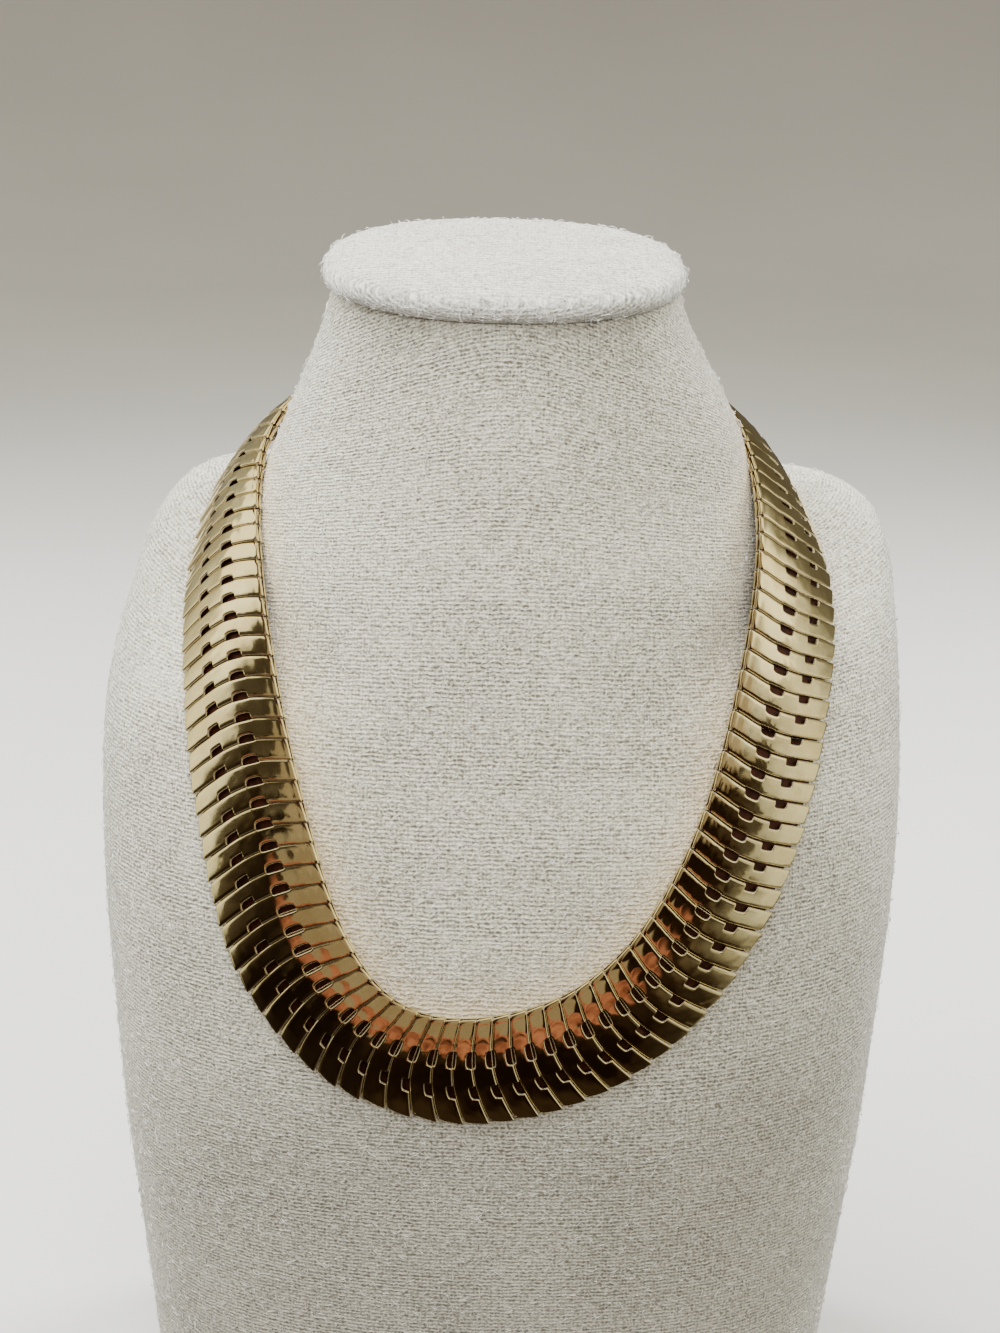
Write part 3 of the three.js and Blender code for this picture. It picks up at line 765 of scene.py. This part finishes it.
class Nodes:
    """Short names for making and joining the nodes of one material or world."""

    def __init__(self, holder, last_node="Principled BSDF"):
        holder.use_nodes = True
        self.tree = holder.node_tree
        self.last = self.tree.nodes[last_node]

    def make(self, kind, inputs=None, **settings):
        node = self.tree.nodes.new(kind)
        for key, value in settings.items():
            setattr(node, key, value)
        self.fill(node, inputs or {})
        return node

    def fill(self, node, inputs):
        for key, value in inputs.items():
            socket = node.inputs[key]
            if isinstance(value, bpy.types.NodeSocket):
                self.tree.links.new(value, socket)
            else:
                socket.default_value = value

    def finish(self, **inputs):
        """Fills the last node's inputs, each named with _ for a space."""
        self.fill(self.last, {key.replace("_", " "): value for key, value in inputs.items()})

    def noise(self, place, scale, detail, roughness=0.5):
        inputs = {"Vector": place, "Scale": scale, "Detail": detail, "Roughness": roughness}
        return self.make("ShaderNodeTexNoise", inputs)

    def math(self, operation, a, b=0.0):
        return self.make("ShaderNodeMath", {0: a, 1: b}, operation=operation).outputs[0]

    def add(self, a, b):
        return self.math("ADD", a, b)

    def minus(self, a, b):
        return self.math("SUBTRACT", a, b)

    def times(self, a, b):
        return self.math("MULTIPLY", a, b)

    def vector(self, operation, inputs):
        return self.make("ShaderNodeVectorMath", inputs, operation=operation).outputs[0]

    def between(self, value, low, high, first=0.0, last=1.0, curve="SMOOTHSTEP"):
        """Goes from first to last while the value goes from low to high."""
        inputs = {0: value, 1: low, 2: high, 3: first, 4: last}
        return self.make("ShaderNodeMapRange", inputs, interpolation_type=curve).outputs[0]

    def mixed(self, factor, a, b, blend="MIX"):
        inputs = {"Factor": factor, 6: a, 7: b}
        return self.make("ShaderNodeMix", inputs, data_type="RGBA", blend_type=blend).outputs[2]

    def ramp(self, value, stops):
        node = self.make("ShaderNodeValToRGB", {0: value})
        ramp = node.color_ramp
        while len(ramp.elements) < len(stops):
            ramp.elements.new(0.5)
        for element, (place, colour) in zip(ramp.elements, stops):
            element.position = place
            element.color = (*colour, 1)
        return node.outputs[0]

    def bump(self, height, strength, distance):
        inputs = {"Height": height, "Strength": strength, "Distance": distance}
        return self.make("ShaderNodeBump", inputs).outputs[0]

    def attribute(self, name):
        return self.make("ShaderNodeAttribute", attribute_name=name).outputs["Fac"]

    def solid(self):
        return self.make("ShaderNodeTexCoord").outputs["Object"]


def fabric_material(name, dark, light):
    material = bpy.data.materials.new(name)
    n = Nodes(material)
    place = n.make("ShaderNodeUVMap", uv_map="weave").outputs[0]
    solid = n.solid()
    wobble = n.noise(solid, 260, 2)
    shift = n.vector("SUBTRACT", {0: wobble.outputs["Color"], 1: (0.5, 0.5, 0.5)})
    bent = n.vector("ADD", {0: place, 1: n.vector("SCALE", {0: shift, "Scale": WOBBLE_REACH})})
    parts = n.make("ShaderNodeSeparateXYZ", {0: bent}).outputs
    ribs = n.math("SINE", n.times(parts[1], 2 * math.pi / RIB_PITCH))
    wales = n.math("SINE", n.times(parts[0], 2 * math.pi / WALE_PITCH))
    knit = n.add(n.times(ribs, RIB_WEIGHT), n.times(wales, WALE_WEIGHT))
    stretched = n.make("ShaderNodeMapping", {"Vector": bent, "Scale": THREADS_PER_METRE}).outputs[0]
    thread = n.noise(stretched, 1, 2)
    curl = n.noise(solid, 620, 1)
    fleck = n.noise(solid, 1500, 2)

    def ridges(noise):
        """Thin light lines where the noise passes its middle: the curls of the pile."""
        away = n.math("ABSOLUTE", n.minus(noise.outputs[0], 0.5))
        return n.math("MAXIMUM", n.minus(1, n.times(away, RIDGE_SHARPNESS)), 0)

    pile = n.add(n.times(ridges(thread), THREAD_WEIGHT), n.times(ridges(curl), CURL_WEIGHT))
    grain = n.add(pile, n.times(fleck.outputs[0], FLECK_WEIGHT))
    lint = n.between(n.noise(solid, 24, 3).outputs[0], *LINT_NOISE, *LINT_TONES, "LINEAR")
    tone = n.add(n.add(grain, knit), lint)
    half = tuple((a + b) / 2 for a, b in zip(dark, light))
    colour = n.ramp(tone, list(zip(FABRIC_STOPS, (dark, half, light))))
    # The painted glow of the gold's reflected light is mixed into the base colour.
    n.finish(
        Base_Color=n.mixed(n.attribute("painted_gold_glow"), colour, PAINTED_GLOW_COLOUR),
        Normal=n.bump(tone, 1.0, 0.0006),
        Roughness=0.95,
        Specular_IOR_Level=0.15,
        Sheen_Weight=0.45,
        Sheen_Roughness=0.55,
    )
    return material


def fibre_material():
    material = bpy.data.materials.new("loose_fibres")
    n = Nodes(material)
    patch = n.noise(n.solid(), 700, 2)
    colour = n.ramp(patch.outputs[0], [(0.3, (0.85, 0.83, 0.77)), (0.6, (1, 0.99, 0.96))])
    n.finish(Base_Color=colour, Roughness=0.9)
    return material


def gold_material():
    material = bpy.data.materials.new("polished_gold")
    n = Nodes(material)
    solid = n.solid()
    edge = n.attribute("edge")
    haze = n.noise(solid, 110, 6, 0.65)
    speck = n.noise(solid, 2400, 2)
    tone = n.add(haze.outputs[0], n.times(n.minus(speck.outputs[0], 0.5), SPECK_WEIGHT))
    colour = n.ramp(tone, [(0.36, (0.84, 0.68, 0.34)), (0.62, (0.97, 0.83, 0.46))])
    rough = n.between(tone, *HAZE_TONES, *GOLD_ROUGHNESS, "LINEAR")
    ripple = n.noise(solid, 210, 1)
    turned = n.make("ShaderNodeMapping", {"Vector": solid, "Rotation": (0.6, 0.4, 0.9), "Scale": (1, 1, 9)})
    scratch = n.noise(turned.outputs[0], 520, 2)
    height = n.add(ripple.outputs[0], n.times(speck.outputs[0], SPECK_HEIGHT))
    height = n.add(height, n.times(scratch.outputs[0], SCRATCH_HEIGHT))
    # Rolled edges get the painted highlight, a paler base colour, and a rougher, less metallic finish.
    n.finish(
        Base_Color=n.mixed(edge, colour, PAINTED_EDGE_HIGHLIGHT),
        Roughness=n.add(rough, n.times(edge, EDGE_ROUGHNESS)),
        Normal=n.bump(height, 0.05, 0.0004),
        Metallic=n.minus(1, n.times(edge, EDGE_DULLNESS)),
    )
    return material


def painted_shade_material():
    # Painted shade: a mottled near-black brown for the hollows under the holes and the inner wall's groove.
    material = bpy.data.materials.new("hole_painted_shade")
    n = Nodes(material)
    shade_mottle = n.noise(n.solid(), 400, 3)
    colour = n.ramp(shade_mottle.outputs[0], [(0.3, (0.02, 0.006, 0.003)), (0.7, (0.075, 0.02, 0.009))])
    n.finish(Base_Color=colour, Roughness=0.45, Metallic=0.6)
    return material


def floor_material():
    material = bpy.data.materials.new("pale_floor")
    n = Nodes(material)
    grain = n.noise(n.solid(), 3, 2)
    colour = n.ramp(grain.outputs[0], [(0.3, (0.76, 0.755, 0.745)), (0.7, (0.8, 0.795, 0.785))])
    n.finish(Base_Color=colour, Roughness=0.8)
    return material


GOLD = gold_material()
HOLE_PAINTED_SHADE = painted_shade_material()
BUST_FABRIC = fabric_material("bust_fabric", (0.22, 0.2, 0.14), (0.98, 0.955, 0.785))
FIBRE = fibre_material()
CAP_FABRIC = fabric_material("cap_fabric", (0.32, 0.305, 0.25), (1, 0.99, 0.9))


# ---------------------------------------------------------------- pieces
def place(piece, slot, *nodes):
    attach(piece, "root")
    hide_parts(*nodes)


def paint_gold_reflection(piece):
    """Marks how near each point of the bust is to the band, as the weight of a painted glow: the gold's
    reflected light, painted as a warm colour into the fabric.
    """
    places = np.linspace(0, len(BAND_STATIONS), PAINTED_GLOW_STEPS, endpoint=False)
    edge = to_frame(edge_point(INNER, places))
    points = np.array([vertex.co for vertex in piece.data.vertices])
    nearest = np.min(np.linalg.norm(points[:, None] - edge[None], axis=-1), axis=1)
    painted_gold_glow = PAINTED_GLOW_STRENGTH * np.exp(-nearest / PAINTED_GLOW_REACH)
    piece.data.attributes.new("painted_gold_glow", "FLOAT", "POINT").data.foreach_set("value", painted_gold_glow)


bust, bust_rings = build_bust()
paint_gold_reflection(bust)
bust.data.materials.append(BUST_FABRIC)
place(bust, "bust_fabric", "bust_body")
cap, cap_rings = build_cap()
cap.data.materials.append(CAP_FABRIC)
place(cap, "cap_fabric", "neck_cap")
rng = np.random.default_rng(SEED)
for name, rings, count, slot in [
    ("bust_fibres", bust_rings, BUST_FIBRES, "bust_fabric"),
    ("cap_fibres", cap_rings, CAP_FIBRES, "cap_fabric"),
]:
    fibres = build_fibres(name, rings, count, rng)
    fibres.data.materials.append(FIBRE)
    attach(fibres, "root")

for index, (node, first_link) in enumerate(LINK_RUNS):
    is_last = index + 1 == len(LINK_RUNS)
    end_link = LINK_COUNT if is_last else LINK_RUNS[index + 1][1]
    run = build_run(node + "_gold", first_link, end_link)
    place(run, "polished_gold", node)

clasp_ends = CLASP_LENGTH / 2
clasp_rings = link_rings(LINK_COUNT, False, False, -clasp_ends, clasp_ends, CLASP_SUNK)
clasp_points, clasp_faces = loft(clasp_rings)
clasp = new_mesh("clasp_plate", to_frame(clasp_points), clasp_faces)
clasp.data.materials.append(GOLD)
place(clasp, "clasp_gold", "clasp")


# ---------------------------------------------------------------- stage, light and camera
FLOOR_RADIUS = 2.6
FLOOR_RINGS = 12
FLOOR_CENTRE = 0.05
BACKDROP_BEND = 1.4
BACKDROP_TOP = 4.0
FLOOR_SIDES = 96


def build_floor():
    """A round pale floor that rises into a backdrop far out, seen by the camera only."""
    bend = np.radians(np.arange(10, 91, 10))
    level = np.linspace(FLOOR_CENTRE, FLOOR_RADIUS, FLOOR_RINGS)
    outermost = FLOOR_RADIUS + BACKDROP_BEND
    radii = np.concatenate([level, FLOOR_RADIUS + BACKDROP_BEND * np.sin(bend), [outermost]])
    rises = np.concatenate([0 * level, BACKDROP_BEND * (1 - np.cos(bend)), [BACKDROP_TOP]])
    turns = 2 * math.pi * np.arange(FLOOR_SIDES) / FLOOR_SIDES
    rings = [
        np.stack([radius * np.cos(turns), radius * np.sin(turns), np.full_like(turns, rise)], -1)
        for radius, rise in zip(radii, rises)
    ]
    points = np.array(rings).reshape(-1, 3)
    faces = ring_faces(len(rings), FLOOR_SIDES)
    faces.append(list(range(FLOOR_SIDES)))
    floor = new_mesh("floor", points, faces)
    floor.data.materials.append(floor_material())
    floor.visible_glossy = False
    floor.visible_diffuse = False


# The studio round the object: how bright it is towards each bearing (1 in front, -1 behind), in
# four bands of height. Its left side is open and light, with a dark screen before it; its right
# side is light above, with dark things from the front round to the side.
LEFT_STUDIO = [
    # bearing, high, level, low, floor
    (-1, 0.8, 0.13, 0.1, 0.04),
    (-0.7, 0.88, 0.36, 0.24, 0.04),
    (-0.4, 1, 0.62, 0.46, 0.04),
    (-0.1, 1, 0.8, 0.52, 0.04),
    (0.16, 0.74, 0.68, 0.48, 0.04),
    (0.28, 0.36, 0.52, 0.37, 0.05),
    (0.32, 0.1, 0.09, 0.06, 0.03),
    (0.5, 0.06, 0.02, 0.009, 0.012),
    (0.66, 0.05, 0.008, 0.005, 0.009),
    (0.77, 0.08, 0.03, 0.007, 0.008),
    (0.8, 0.22, 0.2, 0.012, 0.007),
    (1, 0.26, 0.22, 0.022, 0.005),
]
RIGHT_STUDIO = [
    (-1, 0.08, 0.1, 0.08, 0.04),
    (-0.6, 0.1, 0.11, 0.1, 0.04),
    (-0.35, 0.14, 0.16, 0.2, 0.08),
    (0, 0.68, 0.6, 0.53, 0.16),
    (0.25, 1, 0.66, 0.58, 0.2),
    (0.42, 1, 0.5, 0.52, 0.16),
    (0.6, 0.8, 0.37, 0.3, 0.08),
    (0.64, 0.6, 0.08, 0.14, 0.03),
    (0.82, 0.4, 0.03, 0.05, 0.012),
    (0.86, 0.3, 0.006, 0.015, 0.006),
    (1, 0.26, 0.012, 0.018, 0.005),
]
# Heights between which one band gives way to the next, as the upward part of the direction.
HIGH_LEFT = (0.42, 0.52)
HIGH_RIGHT = (0.31, 0.42)
LOW = (-0.12, -0.01)
FLOOR = (-0.45, -0.3)
GROUND = (-0.8, -0.62)
GROUND_BRIGHTNESS = 0.026
# The studio's colour for each brightness: warm where it is dark, and white where it is light.
STUDIO_TINTS = [
    (0, (0, 0, 0)),
    (0.008, (0.0105, 0.0062, 0.004)),
    (0.04, (0.038, 0.028, 0.018)),
    (0.12, (0.12, 0.108, 0.082)),
    (0.22, (0.235, 0.225, 0.18)),
    (0.4, (0.46, 0.45, 0.37)),
    (0.6, (0.78, 0.75, 0.6)),
    (1, (1.5, 1.43, 1.15)),
]
FRONT_TINT = (1.1, 0.95, 0.86, 1)  # what lies in front is warmer
FRONT_EDGE = (0.74, 0.84)
# Copper-coloured things lie in front of the object, a little below its level.
COPPER_STOPS = [(0.35, (0.13, 0.045, 0.03)), (0.5, (0.3, 0.115, 0.075)), (0.65, (0.42, 0.175, 0.115))]
COPPER_EDGE_LEFT = (0.66, 0.78)
COPPER_EDGE_RIGHT = (0.93, 0.97)
COPPER_HEIGHTS = (-0.28, -0.22, -0.02, 0.01)
COPPER_RISE = 1.2  # how fast they climb towards the left
CENTRE_EDGE = (-0.01, 0.05)
WORLD_STRENGTH = 1.25
WANDER = 0.5  # how far the studio's edges wander
LEAST_LENGTH = 0.02  # keeps the bearing finite straight above and below


def build_world():
    world = bpy.data.worlds.new("studio")
    bpy.context.scene.world = world
    n = Nodes(world, "Background")

    def window(value, starts, full, ends, gone):
        return n.times(n.between(value, starts, full), n.between(value, ends, gone, 1.0, 0.0))

    direction = n.make("ShaderNodeTexCoord").outputs["Generated"]
    parts = n.make("ShaderNodeSeparateXYZ", {0: direction}).outputs
    level_length = n.math("SQRT", n.minus(1, n.times(parts[2], parts[2])))
    to_front = n.times(parts[1], -1)
    true_bearing = n.math("DIVIDE", to_front, n.math("MAXIMUM", level_length, LEAST_LENGTH))
    patches = n.noise(direction, 7, 5).outputs[0]
    wander = n.times(n.minus(patches, 0.5), WANDER)
    height = n.add(parts[2], wander)
    is_right = n.between(parts[0], *CENTRE_EDGE)
    is_left = n.minus(1, is_right)
    place_on_ramp = n.add(n.times(n.add(true_bearing, wander), 0.5), 0.5)

    def band(rows, column):
        """One band of a side: a ramp of bearings, from -1 at its start to 1 at its end."""
        return n.ramp(place_on_ramp, [((row[0] + 1) / 2, (row[column],) * 3) for row in rows])

    def side(rows, high_edge):
        """One side's brightness: its bands, from the floor upwards."""
        high, level, low, floor = (band(rows, column) for column in range(1, 5))
        brightness = n.mixed(n.between(height, *FLOOR), floor, low)
        brightness = n.mixed(n.between(height, *LOW), brightness, level)
        return n.mixed(n.between(height, *high_edge), brightness, high)

    brightness = n.mixed(is_right, side(LEFT_STUDIO, HIGH_LEFT), side(RIGHT_STUDIO, HIGH_RIGHT))
    ground = n.between(height, *GROUND, 1.0, 0.0)
    brightness = n.mixed(ground, brightness, (*(GROUND_BRIGHTNESS,) * 3, 1))
    warmth = n.mixed(n.between(true_bearing, *FRONT_EDGE), (1, 1, 1, 1), FRONT_TINT)
    around = n.mixed(1, n.ramp(brightness, STUDIO_TINTS), warmth, "MULTIPLY")
    left_copper = n.times(n.between(true_bearing, *COPPER_EDGE_LEFT), is_left)
    right_copper = n.times(n.between(true_bearing, *COPPER_EDGE_RIGHT), is_right)
    climb = n.times(n.times(n.minus(1, true_bearing), COPPER_RISE), is_left)
    at_height = window(n.minus(parts[2], climb), *COPPER_HEIGHTS)
    copper = n.times(n.add(left_copper, right_copper), at_height)
    n.finish(Color=n.mixed(copper, around, n.ramp(patches, COPPER_STOPS)), Strength=WORLD_STRENGTH)


LIGHTS = [
    # name, place, what it is turned to, size, power in watts
    ("top_softbox", (-0.25, -0.15, 1.1), (0, 0, 0.2), (0.9, 0.7), 14),
    ("left_softbox", (-0.9, -0.5, 0.75), (0, 0, 0.2), (0.35, 0.6), 6),
    ("front_fill", (0.35, -1.3, 0.8), (0, 0, 0.18), (0.9, 0.5), 10),
    ("left_rim", (-0.75, 0.55, 0.75), (0, 0, 0.2), (0.4, 0.5), 11),
    ("right_rim", (0.75, 0.55, 0.75), (0, 0, 0.2), (0.4, 0.5), 16),
]


def add_light(name, place_at, target, size, power):
    """A soft area light for the fabric. The metal sees the studio of the world instead."""
    data = bpy.data.lights.new(name, "AREA")
    data.shape = "RECTANGLE"
    data.size, data.size_y = size
    data.energy = power
    light = bpy.data.objects.new(name, data)
    light.location = place_at
    direction = Vector(target) - Vector(place_at)
    light.rotation_euler = direction.to_track_quat("-Z", "Y").to_euler()
    light.visible_glossy = False
    bpy.context.scene.collection.objects.link(light)


CAMERA_PLACE = (-0.99, -567, 362)  # in the tables' millimetres
CAMERA_PITCH = 16  # degrees down
CAMERA_ROLL = 1.4
SENSOR_WIDTH = 36
FOCAL_TO_WIDTH = 2.3
NEAREST_SEEN = 0.02


def build_camera():
    data = bpy.data.cameras.new("camera")
    data.sensor_fit = "HORIZONTAL"
    data.sensor_width = SENSOR_WIDTH
    data.lens = SENSOR_WIDTH * FOCAL_TO_WIDTH
    data.clip_start = NEAREST_SEEN
    camera = bpy.data.objects.new("camera", data)
    pitch = Matrix.Rotation(math.radians(90 - CAMERA_PITCH), 4, "X")
    roll = Matrix.Rotation(math.radians(CAMERA_ROLL), 4, "Z")
    camera.matrix_world = Matrix.Translation(Vector(to_frame(CAMERA_PLACE))) @ pitch @ roll
    bpy.context.scene.collection.objects.link(camera)
    bpy.context.scene.camera = camera


build_floor()
build_world()
for light in LIGHTS:
    add_light(*light)
build_camera()
